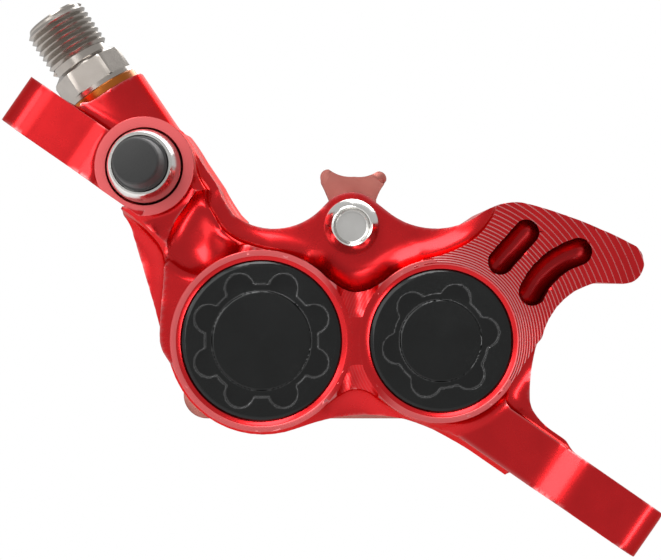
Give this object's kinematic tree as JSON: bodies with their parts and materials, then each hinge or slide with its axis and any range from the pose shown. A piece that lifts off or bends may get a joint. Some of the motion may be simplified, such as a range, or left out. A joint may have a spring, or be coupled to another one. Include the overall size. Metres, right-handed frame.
{
  "type": "bicycle disc brake caliper",
  "caption": "Post-mount hydraulic disc brake caliper with opposed pistons, screwed bore caps, pads on a pin, bleed nipple and hose connector.",
  "frame": {"origin": "midway between the two post bolt axes, on the plane of the posts", "axes": "+X along the posts towards the long arm, +Z off the posts, -Y outboard along the disc axis"},
  "size_m": [0.0952, 0.0491, 0.0456],
  "materials": {
    "anodised": "red anodised over fine milling marks",
    "black_anodised": "black anodised, turned",
    "polished_steel": "polished stainless steel",
    "copper": "copper, slightly tarnished",
    "plate": "copper-coloured plating",
    "friction": "sintered, matt",
    "piston": "ground stainless steel",
    "rubber": "matt moulded rubber",
    "seal": "black nitrile"
  },
  "bodies": {
    "caliper": {"caliper_body": "anodised", "large_bore_cap": "black_anodised", "small_bore_cap": "black_anodised", "large_cap_seal": "seal", "small_cap_seal": "seal", "outboard_large_seal": "seal", "outboard_small_seal": "seal", "inboard_large_seal": "seal", "inboard_small_seal": "seal", "pad_spring": "polished_steel", "pad_pin": "polished_steel", "pad_pin_clip": "polished_steel", "connector_washer": "copper", "hose_connector": "polished_steel"},
    "outboard_pad": {"outboard_pad_plate": "plate", "outboard_friction": "friction"},
    "inboard_pad": {"inboard_pad_plate": "plate", "inboard_friction": "friction"},
    "bleed_nipple": {"bleed_nipple": "polished_steel"},
    "bleed_nipple_cap": {"bleed_nipple_cap": "rubber"},
    "outboard_large_piston": {"outboard_large_piston": "piston"},
    "outboard_small_piston": {"outboard_small_piston": "piston"},
    "inboard_large_piston": {"inboard_large_piston": "piston"},
    "inboard_small_piston": {"inboard_small_piston": "piston"}
  },
  "joints": [
    {"name": "outboard_pad_slide", "type": "slide", "parent": "caliper", "child": "outboard_pad", "axis": [0, 1, 0], "range_m": [0, 0.0014], "deforming": ["pad_spring"]},
    {"name": "inboard_pad_slide", "type": "slide", "parent": "caliper", "child": "inboard_pad", "axis": [0, -1, 0], "range_m": [0, 0.0014]},
    {"name": "outboard_large_piston_slide", "type": "slide", "parent": "caliper", "child": "outboard_large_piston", "axis": [0, 1, 0], "range_m": [0, 0.0014]},
    {"name": "outboard_small_piston_slide", "type": "slide", "parent": "caliper", "child": "outboard_small_piston", "axis": [0, 1, 0], "range_m": [0, 0.0014]},
    {"name": "inboard_large_piston_slide", "type": "slide", "parent": "caliper", "child": "inboard_large_piston", "axis": [0, -1, 0], "range_m": [0, 0.0014]},
    {"name": "inboard_small_piston_slide", "type": "slide", "parent": "caliper", "child": "inboard_small_piston", "axis": [0, -1, 0], "range_m": [0, 0.0014]},
    {"name": "bleed_nipple_turn", "type": "hinge", "parent": "caliper", "child": "bleed_nipple", "pos_m": [-0.02735, 0, 0.00499], "axis": [0, -1, 0], "range_deg": [0, 180]},
    {"name": "bleed_nipple_cap_pull", "type": "slide", "parent": "bleed_nipple", "child": "bleed_nipple_cap", "axis": [0, -1, 0], "range_m": [0, 0.008]}
  ],
  "couplings": [
    {"joint": "inboard_pad_slide", "follows": "outboard_pad_slide", "ratio": 1},
    {"joint": "outboard_large_piston_slide", "follows": "outboard_pad_slide", "ratio": 1},
    {"joint": "outboard_small_piston_slide", "follows": "outboard_pad_slide", "ratio": 1},
    {"joint": "inboard_large_piston_slide", "follows": "outboard_pad_slide", "ratio": 1},
    {"joint": "inboard_small_piston_slide", "follows": "outboard_pad_slide", "ratio": 1}
  ]
}
